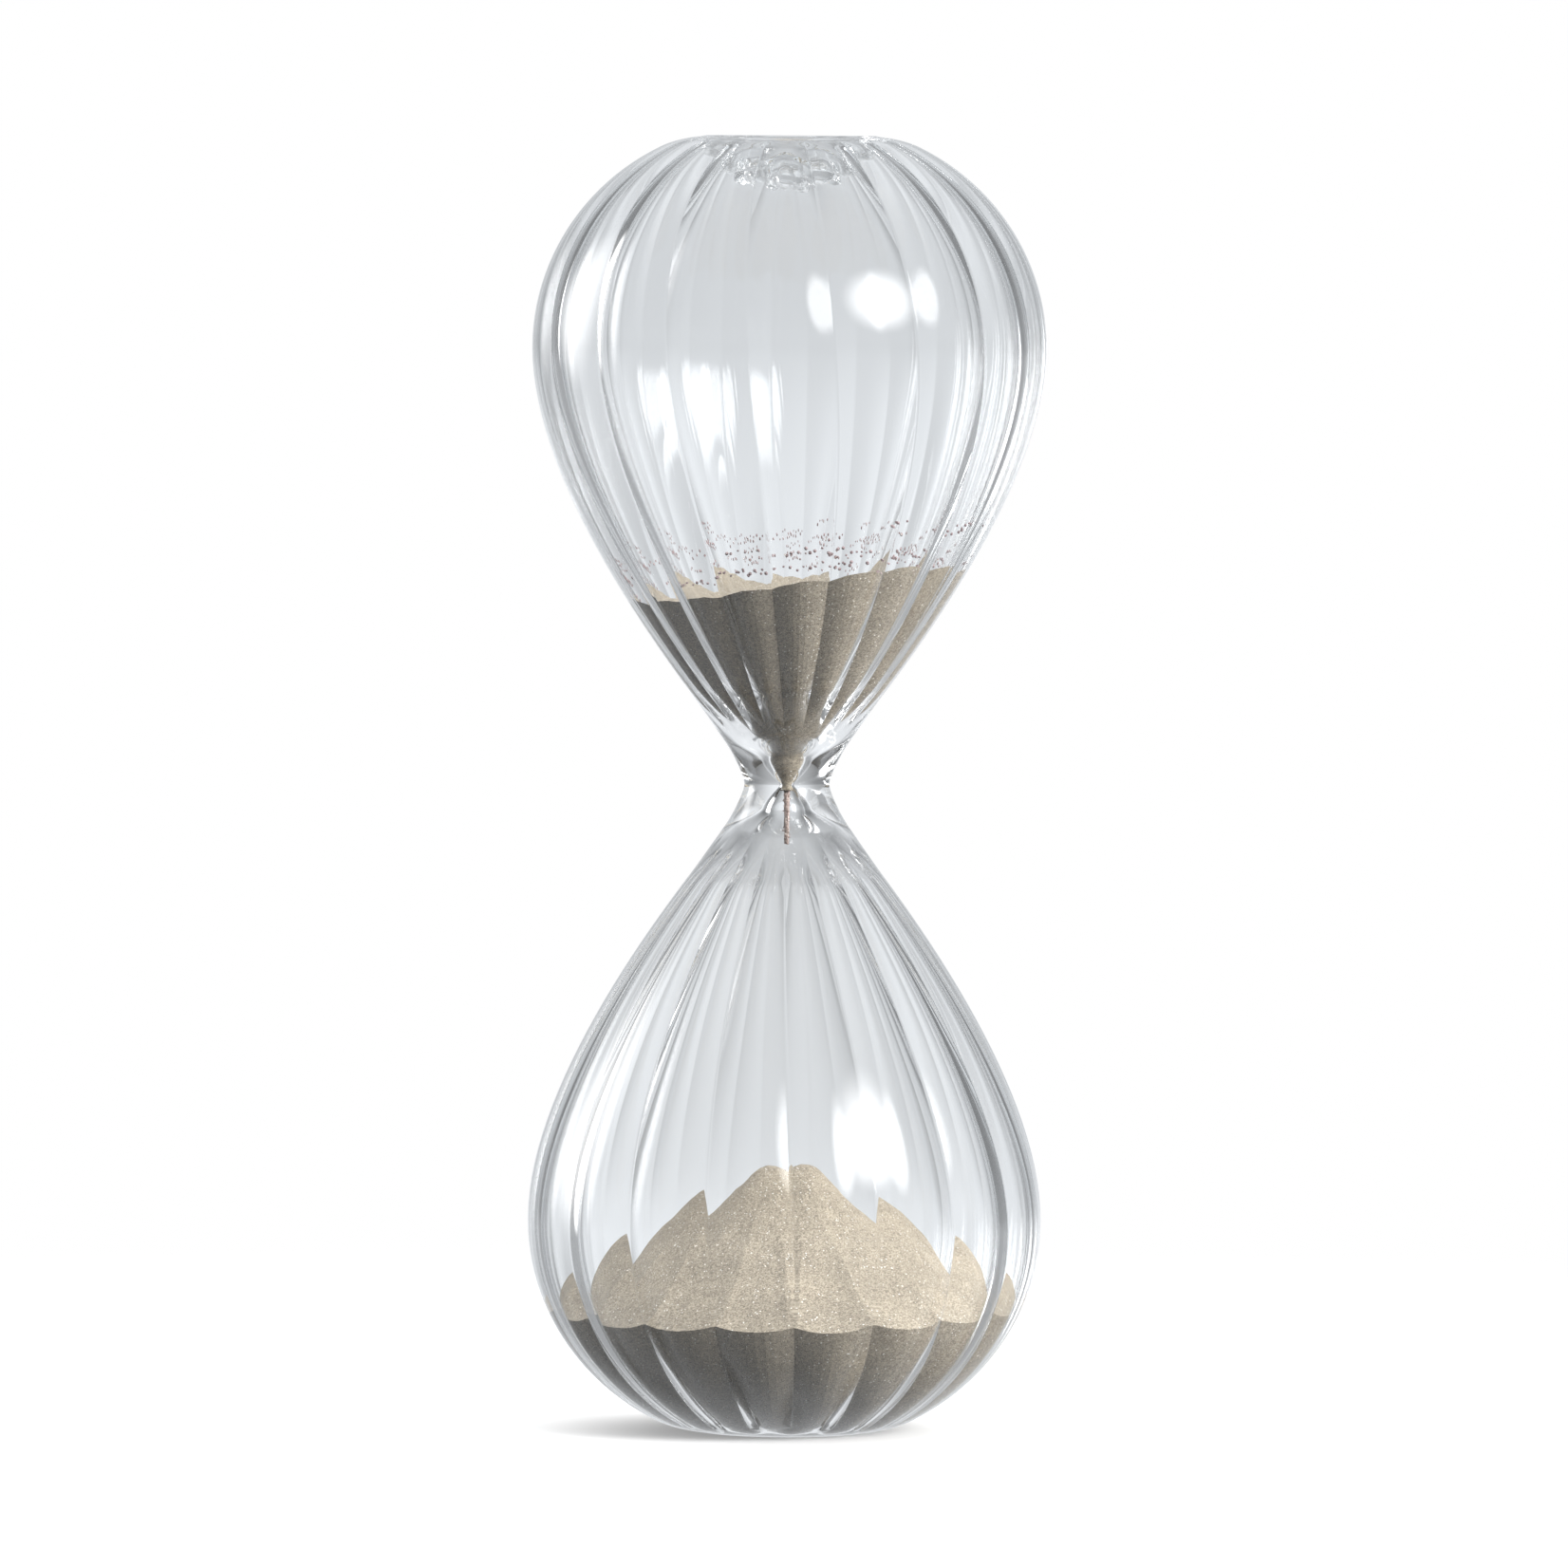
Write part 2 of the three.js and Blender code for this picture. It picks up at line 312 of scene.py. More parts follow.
def drawn(name, stretches, closed):
    """A wire mesh along these stretches, standing in the plane of X and Z."""
    bpy.ops.object.select_all(action="DESELECT")
    bpy.ops.curve.primitive_bezier_curve_add(location=(0, 0, 0))
    line = bpy.context.object
    line.name = name
    spline = line.data.splines[0]
    count = len(stretches) if closed else len(stretches) + 1
    spline.bezier_points.add(count - 2)
    spline.use_cyclic_u = closed
    spline.resolution_u = ROWS_PER_STRETCH
    line.data.resolution_u = ROWS_PER_STRETCH

    def place(point):
        return (point[0] * MM, 0, NECK_HEIGHT + point[1] * MM)

    for knot in spline.bezier_points:
        knot.handle_left_type = knot.handle_right_type = "FREE"
    for i, (start, first, last, end) in enumerate(stretches):
        here = spline.bezier_points[i]
        there = spline.bezier_points[(i + 1) % count]
        here.co, here.handle_right = place(start), place(first)
        there.co, there.handle_left = place(end), place(last)
    first_knot, last_knot = spline.bezier_points[0], spline.bezier_points[count - 1]
    if not closed:
        first_knot.handle_left = first_knot.co
        last_knot.handle_right = last_knot.co
    bpy.ops.object.convert(target="MESH")
    return bpy.context.object


def turned(piece, sides=SIDES):
    """Spins a wire round the Z axis and closes it."""
    edit(piece)
    bpy.ops.mesh.spin(steps=sides, angle=2 * math.pi, center=(0, 0, 0), axis=(0, 0, 1))
    bpy.ops.mesh.select_all(action="SELECT")
    bpy.ops.mesh.remove_doubles(threshold=WELD)
    bpy.ops.mesh.normals_make_consistent(inside=False)
    done()
    return piece


print("a full turn is", SIDES, "steps of", round(360 / SIDES, 2), "degrees")

# %% [markdown]
# ## Ribs
#
# A rib-moulded bulb is a ring of soft lobes. Where two lobes meet, the glass stands into the cavity as a
# ridge, and that thick ridge bends light like a lens: it draws the bright and dark lines down the bulb and
# breaks the sight of the heap into saw teeth. The ridge is made as a hand would press it: each vertex gets
# a weight, 1 on a ridge and 0 in the middle of a lobe, and a Displace modifier moves it along its normal
# by that share. The glass bends most at a ridge, so the columns of vertices are first gathered there.
# A Twist then turns the ribs a few degrees on their way to each end.

# %% Rib weights and the swirl
RIB_DEPTH = 0.95
RIPPLE_SPACING = 1.9
RIPPLE_DEPTH = 0.16
GATHERING = 1.6
UPPER_SWIRL = math.radians(-11)
LOWER_SWIRL = math.radians(-6)
NECK_RIB_AZIMUTH = math.radians(-72)
FIRST_RIB = NECK_RIB_AZIMUTH - UPPER_SWIRL - LOWER_SWIRL


def ramp(value, low, high):
    """Smooth 0 to 1 as value goes from low to high."""
    t = min(1, max(0, (value - low) / (high - low)))
    return t * t * (3 - 2 * t)


def rise_of(point):
    """How far the point is above or below the neck, in millimetres."""
    return abs(point.z - NECK_HEIGHT) / MM


def radius_of(point):
    """How far the point is from the axis, in millimetres."""
    return math.hypot(point.x, point.y) / MM


def lobes_from(point, first):
    """How many lobes round the axis the point is from the azimuth first."""
    return (math.atan2(point.y, point.x) - first) * RIBS / (2 * math.pi)


def ridge(point):
    """1 on the line between two lobes, 0 in the middle of a lobe."""
    return 1 - abs(math.sin(math.pi * lobes_from(point, FIRST_RIB)))


def gathered(piece):
    """Moves the columns of vertices round the axis, closer together near the ridges."""
    for vertex in piece.data.vertices:
        lobe = lobes_from(vertex.co, FIRST_RIB)
        off = 2 * (lobe - round(lobe))
        gathered_off = math.copysign(abs(off) ** GATHERING, off) / 2
        angle = (round(lobe) + gathered_off) * 2 * math.pi / RIBS + FIRST_RIB
        out = math.hypot(vertex.co.x, vertex.co.y)
        vertex.co.x, vertex.co.y = out * math.cos(angle), out * math.sin(angle)


def weigh(piece, name, weight_of):
    """A vertex group whose weight is a function of the vertex's place."""
    least = 0.001
    group = piece.vertex_groups.new(name=name)
    for vertex in piece.data.vertices:
        weight = weight_of(vertex.co)
        if weight > least:
            group.add([vertex.index], weight, "REPLACE")
    return group.name


def swirled(piece):
    """Turns the ribs on their way from the neck to each end."""
    for angle, limits in ((UPPER_SWIRL, (0.5, 1)), (LOWER_SWIRL, (0, 0.5))):
        modify(piece, "SIMPLE_DEFORM", deform_method="TWIST", deform_axis="Z", angle=angle, limits=limits)


print(RIBS, "ribs, one at azimuth", round(math.degrees(NECK_RIB_AZIMUTH)), "degrees at the neck")

# %% [markdown]
# ## The glass vessel
#
# Both bulbs and the neck are one body of fused glass on the real object, so here they are one closed
# shell: the outside line up one way and the inside line back down the other, spun together. A seam cut
# through clear glass would show as a mirror, because light can't leave glass for air at a shallow angle.
# The ribs stand only on the inside, so a search tree of points on the outline tells which of the two
# surfaces a vertex belongs to. They fade out over the standing ring, start a little above the neck, and
# are shallower there, where the lobes are narrow.

# %% Spin the vessel
RIBS_START, RIBS_FULL = 11.5, 20
NECK_RIB_SHARE = 0.74
NARROW_LOBES, WIDE_LOBES = 18, 38
RIM_ZONE = 100
RIM_RIBS_END, RIM_RIBS_FULL = 19, 24
RIPPLE_ZONE = (9.5, 11, 16, 18)
RIPPLE_RISE = (112, 114)
fill_edge = [PUNT_EDGE, (PUNT_EDGE[0], 118.4), (PUNT_EDGE[0], 117.8), inside_stretches[-1][3]]
upper_loop = refined(outside_stretches) + [fill_edge] + flipped(refined(inside_stretches))
lower_loop = mirrored(flipped(upper_loop))
vessel_loop = upper_loop + lower_loop
vessel = drawn("glass_vessel", vessel_loop, closed=True)
turned(vessel)
gathered(vessel)


def along(stretch, t):
    """The point at share t of a Bezier stretch."""
    shares = ((1 - t) ** 3, 3 * t * (1 - t) ** 2, 3 * t * t * (1 - t), t**3)
    return [sum(share * point[axis] for share, point in zip(shares, stretch)) for axis in (0, 1)]


steps = [step / ROWS_PER_STRETCH for step in range(ROWS_PER_STRETCH + 1)]
outer_points = [along(stretch, t) for stretch in refined(outside_stretches) for t in steps]
outer_tree = KDTree(len(outer_points))
for i, (across, up) in enumerate(outer_points):
    outer_tree.insert((across, up, 0), i)
outer_tree.balance()


def rib_share(point):
    """How far the ribs stand out here: not at all in the throat and the punt."""
    over_rim = ramp(radius_of(point), RIM_RIBS_END, RIM_RIBS_FULL) if rise_of(point) > RIM_ZONE else 1
    grown = NECK_RIB_SHARE + (1 - NECK_RIB_SHARE) * ramp(radius_of(point), NARROW_LOBES, WIDE_LOBES)
    return ramp(rise_of(point), RIBS_START, RIBS_FULL) * grown * over_rim


def rib_weight(point):
    """The weight of a ridge on the inner surface. The outer surface stays smooth."""
    distance = outer_tree.find((radius_of(point), rise_of(point), 0))[2]
    return rib_share(point) * ridge(point) if distance > WALL / 3 else 0


def ripple_weight(point):
    """Rings that the pushing-in left on the punt."""
    out = radius_of(point)
    in_punt = ramp(rise_of(point), *RIPPLE_RISE)
    share = ramp(out, *RIPPLE_ZONE[:2]) * (1 - ramp(out, *RIPPLE_ZONE[2:])) * in_punt
    return share * (0.5 + 0.5 * math.sin(2 * math.pi * (out + 0.8 * rise_of(point)) / RIPPLE_SPACING))


ribs = weigh(vessel, "ribs", rib_weight)
ripples = weigh(vessel, "ripples", ripple_weight)
modify(vessel, "DISPLACE", strength=RIB_DEPTH * MM, mid_level=0, vertex_group=ribs)
modify(vessel, "DISPLACE", strength=RIPPLE_DEPTH * MM, mid_level=0, vertex_group=ripples)
swirled(vessel)
smooth(vessel)
print("vessel", len(vessel.data.vertices), "vertices")


# %% [markdown]
# ## The end seals
#
# Each fill hole is closed by a drop of molten glass, tooled down to a button. It sets with a wavy,
# scalloped rim and a swollen belly, so it catches the light in small bright and dark shapes.

# %% Make a seal and turn a copy of it over
SEAL_RADIUS = 9.2
SEAL_TOP = 119.2
WAVE_HEIGHT = 1.3
WAVE_START, WAVE_FULL, WAVE_FADE, WAVE_END = 1.5, 6, 8.2, 9.1


def seal(name):
    """A button of glass with a wavy top."""
    low_side, high_side = (SEAL_RADIUS, SEAL_TOP - 1.2), (SEAL_RADIUS, SEAL_TOP - 0.3)
    crown, hollow = (6.8, SEAL_TOP + 0.2), SEAL_TOP - 0.9
    belly = [(0, SEAL_TOP - 3.6), (5.0, SEAL_TOP - 3.7), (8.9, SEAL_TOP - 3.2), low_side]
    brim = [low_side, high_side, (8.2, SEAL_TOP + 0.5), crown]
    dish = [crown, (5.2, SEAL_TOP - 0.6), (2.0, hollow), (0, hollow)]
    piece = turned(drawn(name, [belly, brim, dish], closed=False), sides=96)

    def wave(point):
        angle = math.atan2(point.y, point.x)
        out = radius_of(point)
        waves = 0.5 + 0.32 * math.sin(4 * angle + 0.6) + 0.18 * math.sin(7 * angle + 2.0)
        return waves * ramp(out, WAVE_START, WAVE_FULL) * (1 - ramp(out, WAVE_FADE, WAVE_END))

    waves = weigh(piece, "waves", wave)
    modify(piece, "DISPLACE", strength=WAVE_HEIGHT * MM, mid_level=0, vertex_group=waves)
    smooth(piece)
    return piece


upper_seal = seal("upper_seal_glass")
lower_seal = seal("lower_seal_glass")
edit(lower_seal)
bpy.ops.transform.resize(value=(1, 1, -1), center_override=(0, 0, NECK_HEIGHT))
bpy.ops.mesh.normals_make_consistent(inside=False)
done()
print("seals", len(upper_seal.data.vertices), "vertices each")


# %% [markdown]
# ## The space inside
#
# Sand fills the inside exactly, ribs and all, which is why its face shows the lobes of the glass. So the
# sand starts as the whole cavity, a hair smaller than the glass, and is cut down to what is there.

# %% Spin the cavity
SAND_CLEARANCE = 0.06
UNDER_SEAL_RISE = 113.9


def cavity(name):
    """The space inside as a solid, ribs and all."""
    walls = refined(inside_of(WALL + SAND_CLEARANCE))
    under_seal = [walls[-1][3], (9.0, UNDER_SEAL_RISE), (6.0, UNDER_SEAL_RISE), (0, UNDER_SEAL_RISE)]
    half = walls + [under_seal]
    piece = turned(drawn(name, mirrored(flipped(half)) + half, closed=False))

    gathered(piece)
    ribs = weigh(piece, "ribs", lambda point: rib_share(point) * ridge(point))
    modify(piece, "DISPLACE", strength=-RIB_DEPTH * MM, mid_level=0, vertex_group=ribs)
    swirled(piece)
    return piece


def cut_to(piece, cutter):
    """Keeps only what of piece lies inside cutter."""
    modify(piece, "BOOLEAN", operation="INTERSECT", object=cutter, solver="EXACT")
    remove(cutter)


print("sand keeps", SAND_CLEARANCE, "mm clear of the glass")

# %% [markdown]
# ## The two bodies of sand
#
# The cutter for the heap is a cone with a rounded top at sand's angle of repose, with low folds that run
# up the slope where the ridges of the glass hold the sand back. Both get soft hollows and fine bumps from
# two Displace modifiers with cloud textures, and both lean a little, as sand does when the glass was set
# down askew.

# %% Cut the heap
HEAP_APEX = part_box("lower_sand")[1].z / MM - NECK_HEIGHT / MM
HEAP_LEAN_X, HEAP_LEAN_Y = 0.015, 0.045
APEX_MARGIN = 1.1
BROW_RADIUS, BROW_DROP = 7, 2.7
HIP_RADIUS, HIP_DROP = 30, 16.6
FOOT_RADIUS, FOOT_DROP = 60, 41.2
CUTTER_DEPTH = -200
FOLD_HEIGHT = 1.05
FOLD_START, FOLD_FULL = 16, 40
FOLD_SHARPNESS = 1.5
HOLLOWS = (1.6, 13)
FINE_BUMPS = (0.35, 1.6)


def clouds(name, size):
    """A cloud texture with lumps of this size in millimetres."""
    texture = bpy.data.textures.new(name, "CLOUDS")
    texture.noise_scale = size * MM
    return texture


def rough(piece, strength, size):
    """Moves piece up and down by cloud texture. Both numbers are millimetres."""
    modify(
        piece,
        "DISPLACE",
        texture=clouds("grit", size),
        texture_coords="LOCAL",
        direction="Z",
        strength=strength * MM,
        mid_level=0.5,
    )


def heap_cutter():
    """A cone that is steeper lower down, on a deep bowl that holds all below it."""
    apex = HEAP_APEX + APEX_MARGIN
    brow, hip = (BROW_RADIUS, apex - BROW_DROP), (HIP_RADIUS, apex - HIP_DROP)
    foot = (FOOT_RADIUS, apex - FOOT_DROP)
    floor = (0, CUTTER_DEPTH)
    top = [(0, apex), (2.6, apex), (4.4, apex - 1.0), brow]
    upper_slope = [brow, ahead(brow, (1, -0.6), 8), ahead(hip, (-1, 0.68), 8), hip]
    lower_slope = [hip, ahead(hip, (1, -0.72), 10), ahead(foot, (-1, 0.86), 10), foot]
    under = [foot, ahead(foot, (0, -1), 20), ahead(floor, (1, 0), 20), floor]
    return turned(drawn("heap_cutter", [top, upper_slope, lower_slope, under], closed=False))


def fold(point):
    """The sand rises a little towards each ridge of the glass, in a fold that runs up the slope."""
    lobe = lobes_from(point, NECK_RIB_AZIMUTH - 0.8 * LOWER_SWIRL)
    share = (1 - abs(math.sin(math.pi * lobe))) ** FOLD_SHARPNESS
    return FOLD_HEIGHT * MM * share * ramp(radius_of(point), FOLD_START, FOLD_FULL)


heap = cavity("sand_heap")
cutter = heap_cutter()
for vertex in cutter.data.vertices:
    vertex.co.z += HEAP_LEAN_X * vertex.co.x + HEAP_LEAN_Y * vertex.co.y + fold(vertex.co)
rough(cutter, *HOLLOWS)
rough(cutter, *FINE_BUMPS)
cut_to(heap, cutter)
print("heap", len(heap.data.vertices), "vertices")

# %% [markdown]
# The sand above has run down through its middle, so its cutter has a shallow crater. Its face leans, and
# one side is warped a little, so that the far side shows over the near one. It ends just under the
# orifice, where the stream takes over.

# %% Cut the sand above
RIM_RISE = 39.6
RIM_RADIUS = 30
LEAN_X, LEAN_Y = 0.07, -0.02
WARP = 2.4
CRATER_SLOPE = math.tan(math.radians(15))
SUPPLY_BASE = -1.5
SUPPLY_REACH = 60
SUPPLY_WALL_RISE = 20
FACE_RISE = 10
SUPPLY_HOLLOWS = (0.8, 9)


def supply_cutter():
    """A wide drum with a crater in its top."""
    floor, corner = (0, SUPPLY_BASE), (SUPPLY_REACH, SUPPLY_WALL_RISE)
    rim = (SUPPLY_REACH, RIM_RISE + (SUPPLY_REACH - RIM_RADIUS) * CRATER_SLOPE)
    pit = (0, RIM_RISE - RIM_RADIUS * CRATER_SLOPE)
    under = [floor, (20, SUPPLY_BASE), (SUPPLY_REACH, SUPPLY_BASE), corner]
    wall = [corner, ahead(corner, (0, 1), 10), ahead(rim, (0, -1), 5), rim]
    top = [rim, ahead(rim, (-1, -CRATER_SLOPE), 15), ahead(pit, (1, 0), 6), pit]
    return turned(drawn("supply_cutter", [under, wall] + halved(top), closed=False))


def face_shift(point):
    """How far the lean and the warp lift the face of the sand here."""
    return LEAN_X * point.x + LEAN_Y * point.y - WARP * point.x * point.y


supply = cavity("sand_supply")
cutter = supply_cutter()
for vertex in cutter.data.vertices:
    if vertex.co.z > NECK_HEIGHT + FACE_RISE * MM:
        vertex.co.z += face_shift(vertex.co)
rough(cutter, *SUPPLY_HOLLOWS)
rough(cutter, *FINE_BUMPS)
cut_to(supply, cutter)
print("supply", len(supply.data.vertices), "vertices")


# %% [markdown]
# ## Materials
#
# Clear glass is a Principled shader with full transmission. Its shadow would be black, because a path
# tracer can't aim light through a curved wall, so the Light Path node lets shadow rays pass: that is how
# the sand behind the glass gets its light. Light that has already met sand passes straight as well, and so
# does a ray that has bounced so often inside a wall that it would only add noise.

# %% Clear glass
LONGEST_PATH = 14
GLASS_TINT = (0.985, 0.99, 0.992, 1)
SHADOW_TINT = (0.95, 0.96, 0.965, 1)
GLASS_IOR = 1.47


def material(name):
    """A new material with its nodes, links, shader and output."""
    made = bpy.data.materials.new(name)
    made.use_nodes = True
    nodes = made.node_tree.nodes
    return made, nodes, made.node_tree.links, nodes["Principled BSDF"], nodes["Material Output"]


def clear_glass():
    made, nodes, links, shader, output = material("clear_blown_glass")
    shader.inputs["Base Color"].default_value = GLASS_TINT
    shader.inputs["Roughness"].default_value = 0.0
    shader.inputs["IOR"].default_value = GLASS_IOR
    shader.inputs["Transmission Weight"].default_value = 1.0
    path = nodes.new("ShaderNodeLightPath")
    clear = nodes.new("ShaderNodeBsdfTransparent")
    clear.inputs["Color"].default_value = SHADOW_TINT
    caught = nodes.new("ShaderNodeMath")
    caught.operation = "GREATER_THAN"
    caught.inputs[1].default_value = LONGEST_PATH
    links.new(path.outputs["Ray Depth"], caught.inputs[0])
    straight = path.outputs["Is Shadow Ray"]
    for reason in (path.outputs["Diffuse Depth"], caught.outputs[0]):
        larger = nodes.new("ShaderNodeMath")
        larger.operation = "MAXIMUM"
        links.new(straight, larger.inputs[0])
        links.new(reason, larger.inputs[1])
        straight = larger.outputs[0]
    mix = nodes.new("ShaderNodeMixShader")
    links.new(straight, mix.inputs["Fac"])
    links.new(shader.outputs["BSDF"], mix.inputs[1])
    links.new(clear.outputs["BSDF"], mix.inputs[2])
    links.new(mix.outputs["Shader"], output.inputs["Surface"])
    return made


glass = clear_glass()
print("glass", glass.name)

# %% [markdown]
# Dry sand is a mix of pale quartz, tan and darker grains a quarter of a millimetre across. A Voronoi
# texture gives each grain its own cell: the cell's random colour picks the grain's shade, and the distance
# from the cell's middle lifts it as a bump. About one cell in a hundred is painted near white as a glint, a
# painted highlight, and a slow noise makes patches a little darker or paler. The heap, the stream and the
# grains on the wall all use this group with their own colours and grain size.

# %% Sand
# Painted highlight: about one grain in a hundred is coloured near white as a glint.
PAINTED_GLINT_SHARE = 0.012
PAINTED_GLINT_COLOUR = (0.95, 0.92, 0.86, 1)
PATCH_SCALE = 110
PATCH_DARKEST, PATCH_PALEST = 0.75, 1.2
SAND_ROUGHNESS = 0.75


def grain_group():
    """The node group that gives each grain its colour and height."""
    group = bpy.data.node_groups.new("sand_grains", "ShaderNodeTree")
    face = group.interface
    face.new_socket("Grain Size", in_out="INPUT", socket_type="NodeSocketFloat").default_value = 0.45
    face.new_socket("Dark", in_out="INPUT", socket_type="NodeSocketColor")
    face.new_socket("Pale", in_out="INPUT", socket_type="NodeSocketColor")
    face.new_socket("Color", in_out="OUTPUT", socket_type="NodeSocketColor")
    face.new_socket("Height", in_out="OUTPUT", socket_type="NodeSocketFloat")
    nodes, links = group.nodes, group.links
    given, out = nodes.new("NodeGroupInput"), nodes.new("NodeGroupOutput")
    place = nodes.new("ShaderNodeTexCoord")
    per_metre = nodes.new("ShaderNodeMath")
    per_metre.operation = "DIVIDE"
    per_metre.inputs[0].default_value = 1 / MM
    cells = nodes.new("ShaderNodeTexVoronoi")
    links.new(given.outputs["Grain Size"], per_metre.inputs[1])
    links.new(per_metre.outputs[0], cells.inputs["Scale"])
    links.new(place.outputs["Object"], cells.inputs["Vector"])
    split = nodes.new("ShaderNodeSeparateColor")
    links.new(cells.outputs["Color"], split.inputs[0])
    shade = nodes.new("ShaderNodeMix")
    shade.data_type = "RGBA"
    links.new(split.outputs[0], shade.inputs["Factor"])
    links.new(given.outputs["Dark"], shade.inputs["A"])
    links.new(given.outputs["Pale"], shade.inputs["B"])
    patches = nodes.new("ShaderNodeTexNoise")
    patches.inputs["Scale"].default_value = PATCH_SCALE
    links.new(place.outputs["Object"], patches.inputs["Vector"])
    tone = nodes.new("ShaderNodeMapRange")
    tone.inputs["To Min"].default_value = PATCH_DARKEST
    tone.inputs["To Max"].default_value = PATCH_PALEST
    links.new(patches.outputs["Fac"], tone.inputs["Value"])
    toned = nodes.new("ShaderNodeVectorMath")
    toned.operation = "SCALE"
    links.new(shade.outputs["Result"], toned.inputs[0])
    links.new(tone.outputs["Result"], toned.inputs["Scale"])
    # Painted highlight: grains in the top share of the random value take the near-white glint colour.
    painted_glint_mask = nodes.new("ShaderNodeMath")
    painted_glint_mask.operation = "GREATER_THAN"
    painted_glint_mask.inputs[1].default_value = 1 - PAINTED_GLINT_SHARE
    links.new(split.outputs[1], painted_glint_mask.inputs[0])
    shown = nodes.new("ShaderNodeMix")
    shown.data_type = "RGBA"
    shown.inputs["B"].default_value = PAINTED_GLINT_COLOUR
    links.new(painted_glint_mask.outputs[0], shown.inputs["Factor"])
    links.new(toned.outputs["Vector"], shown.inputs["A"])
    links.new(shown.outputs["Result"], out.inputs["Color"])
    dome = nodes.new("ShaderNodeMath")
    dome.operation = "SUBTRACT"
    dome.inputs[0].default_value = 1
    links.new(cells.outputs["Distance"], dome.inputs[1])
    links.new(dome.outputs[0], out.inputs["Height"])
    return group


grains = grain_group()


def sand(name, dark, pale, size, bump):
    """Sand between two colours, with grains of this size in millimetres."""
    made, nodes, links, shader, _ = material(name)
    effect = nodes.new("ShaderNodeGroup")
    effect.node_tree = grains
    effect.inputs["Grain Size"].default_value = size
    effect.inputs["Dark"].default_value = (*dark, 1)
    effect.inputs["Pale"].default_value = (*pale, 1)
    relief = nodes.new("ShaderNodeBump")
    relief.inputs["Strength"].default_value = bump
    relief.inputs["Distance"].default_value = size * MM
    links.new(effect.outputs["Color"], shader.inputs["Base Color"])
    links.new(effect.outputs["Height"], relief.inputs["Height"])
    links.new(relief.outputs["Normal"], shader.inputs["Normal"])
    shader.inputs["Roughness"].default_value = SAND_ROUGHNESS
    return made


dry_sand = sand("dry_sand", (0.20, 0.164, 0.12), (0.53, 0.453, 0.348), 0.24, 0.18)
falling_sand = sand("falling_sand", (0.34, 0.24, 0.21), (0.60, 0.48, 0.43), 0.32, 0.2)
clinging_sand = sand("clinging_sand", (0.20, 0.13, 0.13), (0.46, 0.34, 0.34), 0.6, 0.2)
print("sand finishes", dry_sand.name, falling_sand.name, clinging_sand.name)

# %% [markdown]
# ## The falling stream
#
# A thread of grains a little over a millimetre thick leaves the pinhole. It starts as a cylinder, is cut
# into rings, drawn thinner towards its foot and pushed in and out by a cloud texture until no two rings
# match. A few loose grains of twenty faces each fall beside it.

# %% Make the stream
STREAM_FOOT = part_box("sand_stream")[0].z
STREAM_HEAD = NECK_HEIGHT + 0.5 * MM
STREAM_LENGTH = STREAM_HEAD - STREAM_FOOT
STREAM_RADIUS = 0.62
STREAM_RINGS = 60
STREAM_TAPER = 0.35
LOOSE_GRAINS = 46
chance = random.Random(18)


def grain(spot, radius):
    """Adds one grain of twenty faces to the mesh that is open in edit mode."""
    turn = (chance.uniform(0, 3), chance.uniform(0, 3), 0)
    bpy.ops.mesh.primitive_ico_sphere_add(subdivisions=1, radius=radius * MM, location=spot, rotation=turn)


bpy.ops.object.select_all(action="DESELECT")
bpy.ops.mesh.primitive_cylinder_add(
    vertices=16,
    radius=STREAM_RADIUS * MM,
    depth=STREAM_LENGTH,
    location=(0, 0, (STREAM_HEAD + STREAM_FOOT) / 2),
)
stream = bpy.context.object
stream.name = "falling_stream"
bpy.ops.object.transform_apply(location=True, rotation=True, scale=True)
edit(stream)
bpy.ops.mesh.select_all(action="DESELECT")
bpy.ops.mesh.select_mode(type="EDGE")
done()
for line in stream.data.edges:
    low_end, high_end = [stream.data.vertices[i].co.z for i in line.vertices]
    line.select = abs(low_end - high_end) > STREAM_LENGTH / 2
bpy.ops.object.mode_set(mode="EDIT")
bpy.ops.mesh.subdivide(number_cuts=STREAM_RINGS)
bpy.ops.mesh.select_mode(type="VERT")
done()
for vertex in stream.data.vertices:
    narrowing = 1 - STREAM_TAPER * (STREAM_HEAD - vertex.co.z) / STREAM_LENGTH
    vertex.co.x *= narrowing
    vertex.co.y *= narrowing
modify(
    stream,
    "DISPLACE",
    texture=clouds("stream_grains", 0.5),
    texture_coords="LOCAL",
    strength=0.35 * MM,
    mid_level=0.5,
)
edit(stream)
for i in range(LOOSE_GRAINS):
    angle, out = chance.uniform(0, 2 * math.pi), chance.uniform(0.5, 0.75) * MM
    fall = STREAM_HEAD - 1.5 * MM - (STREAM_LENGTH - 2 * MM) * chance.random()
    grain((out * math.cos(angle), out * math.sin(angle), fall), chance.uniform(0.09, 0.16))
done()
print("stream", len(stream.data.vertices), "vertices")

# %% [markdown]
# ## Grains that cling to the wall
#
# Static holds single grains to the glass just above the sand, in short rows that show where the sand stood
# a moment ago. Each row starts at a chance place, and each grain is set against the wall by a ray cast
# from the axis.

# %% Set the clinging grains
def wall_spot(tree, azimuth, rise, radius):
    """A grain's centre against the inner wall at this azimuth and rise."""
    start = Vector((0, 0, NECK_HEIGHT + rise * MM))
    toward = Vector((math.cos(azimuth), math.sin(azimuth), 0))
    hit = tree.ray_cast(start, toward)[0]
    return hit - toward * radius * MM * 1.1


GRAIN_ROWS = 42
HIGHEST_ROW = 9.5
WALL_RADIUS = 33


def row_azimuth():
    """Most rows are on the far wall, and a third of them on the near one."""
    far, middle, near = chance.uniform(12, 168), chance.uniform(20, 150), chance.uniform(30, 150)
    return math.radians(chance.choice((far, middle, -near)))


